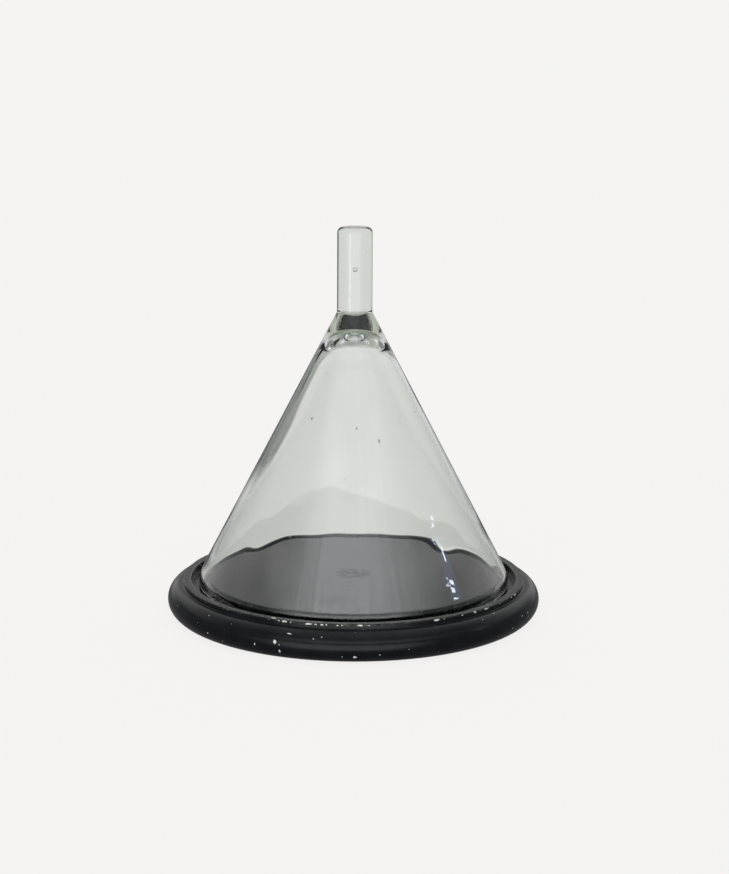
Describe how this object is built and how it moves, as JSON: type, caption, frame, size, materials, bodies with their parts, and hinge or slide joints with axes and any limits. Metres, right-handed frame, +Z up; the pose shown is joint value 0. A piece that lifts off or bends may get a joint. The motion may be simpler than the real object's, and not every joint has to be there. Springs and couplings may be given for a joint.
{
  "type": "conical glass cloche on a wooden base",
  "caption": "Conical blown-glass cloche with a solid glass rod handle, standing in the groove of a round ebonised wooden base; the glass lifts straight off.",
  "frame": {"origin": "centre of the base board's underside, on the axis that every piece is turned about", "axes": "+Z up along the common axis of the board, the glass cone and its handle; X and Y lie in the plane of the underside"},
  "size_m": [0.3, 0.3, 0.31],
  "materials": {
    "ebonised_wood": "black satin paint over turned wood, rubbed grey on its flats and chipped to a cream ground along its edges",
    "blown_glass": "clear hand-blown glass with a faint green tint, seeds and uneven wall"
  },
  "bodies": {
    "base": {"base_board": "ebonised_wood"},
    "cloche": {"glass_cone": "blown_glass", "glass_handle": "blown_glass"}
  },
  "joints": [
    {"name": "cloche_lift", "type": "slide", "parent": "base", "child": "cloche", "axis": [0, 0, 1], "range_m": [0, 0.21]}
  ]
}
